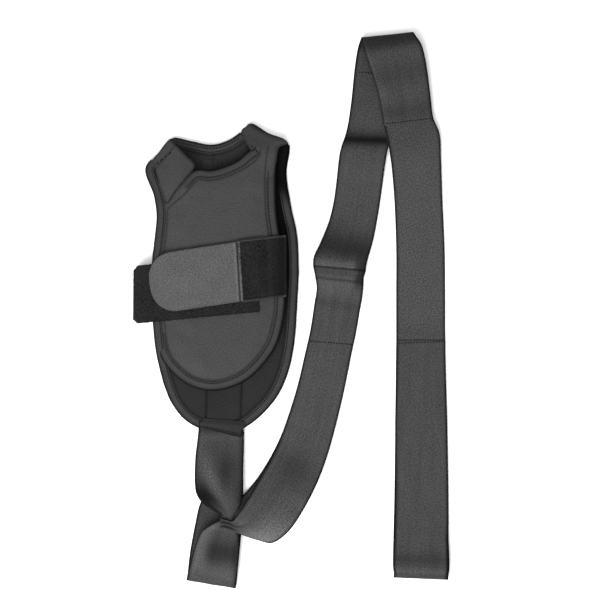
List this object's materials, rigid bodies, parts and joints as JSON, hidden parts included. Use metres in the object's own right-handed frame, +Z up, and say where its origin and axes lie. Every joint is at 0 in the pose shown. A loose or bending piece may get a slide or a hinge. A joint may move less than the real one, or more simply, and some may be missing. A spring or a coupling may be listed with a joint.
{
  "type": "arm sling",
  "caption": "Padded forearm cradle with a hook-and-loop closure, an elbow link loop and a long looped shoulder strap, laid flat.",
  "frame": {"origin": "on the floor plane, under the middle of the whole sling as it lies flat on its back panel", "axes": "+Z up, +Y towards the neck end of the cradle and the strap's top fold, +X towards the shoulder strap"},
  "size_m": [0.3249, 0.5681, 0.0291],
  "materials": {
    "shell_fabric": "matte brushed knit laminate",
    "lining_fabric": "matte knit",
    "foam": "open cell foam",
    "binding_tape": "woven tape",
    "label_fabric": "satin label tape",
    "black_pile": "looped pile",
    "hook_tape": "moulded hook tape",
    "tab_fabric": "brushed fabric",
    "strap_webbing": "satin woven webbing",
    "strap_pile": "matte loop pile"
  },
  "bodies": {
    "cradle": {"back_shell": "shell_fabric", "back_foam": "foam", "back_lining": "lining_fabric", "back_binding": "binding_tape", "back_neck_binding": "binding_tape", "front_lining": "lining_fabric", "front_foam": "foam", "front_shell": "shell_fabric", "front_binding": "binding_tape", "neck_binding": "binding_tape", "side_binding": "binding_tape", "right_shoulder_tab": "shell_fabric", "care_label": "label_fabric", "elbow_patch": "shell_fabric", "loop_strip": "black_pile", "closure_root": "black_pile", "link_loop": "strap_webbing", "strap_link_loop": "strap_webbing", "strap_long_run": "strap_webbing"},
    "shoulder_flap": {"flap_lining": "lining_fabric", "flap_shell": "shell_fabric"},
    "closure_band": {"closure_backing": "strap_webbing", "closure_pile": "black_pile", "closure_binding_upper": "binding_tape", "closure_binding_lower": "binding_tape"},
    "tab": {"hook_patch": "hook_tape", "hook_tab": "tab_fabric"},
    "strap_return": {"strap_return_run": "strap_webbing", "strap_pile_section": "strap_pile"},
    "end_loop": {"strap_end_loop": "strap_webbing"}
  },
  "joints": [
    {"name": "closure_opens", "type": "hinge", "parent": "cradle", "child": "closure_band", "pos_m": [-0.0072, 0.0436, 0.023], "axis": [-0.1132, 0.9936, 0], "range_deg": [0, 120]},
    {"name": "tab_peels", "type": "hinge", "parent": "closure_band", "child": "tab", "pos_m": [-0.0529, 0.0384, 0.029], "axis": [-0.1132, 0.9936, 0], "range_deg": [0, 60]},
    {"name": "flap_lifts", "type": "hinge", "parent": "cradle", "child": "shoulder_flap", "pos_m": [-0.1331, 0.16295, 0.00575], "axis": [-0.6464, -0.763, 0], "range_deg": [0, 120]},
    {"name": "strap_unfolds", "type": "hinge", "parent": "cradle", "child": "strap_return", "pos_m": [0.0978, 0.28115, 0.0072], "axis": [-0.9945, -0.1045, 0], "range_deg": [0, 150]},
    {"name": "end_loop_lifts", "type": "hinge", "parent": "strap_return", "child": "end_loop", "pos_m": [0.1326, -0.03395, 0.0036], "axis": [-1, 0, 0], "range_deg": [0, 90]}
  ]
}
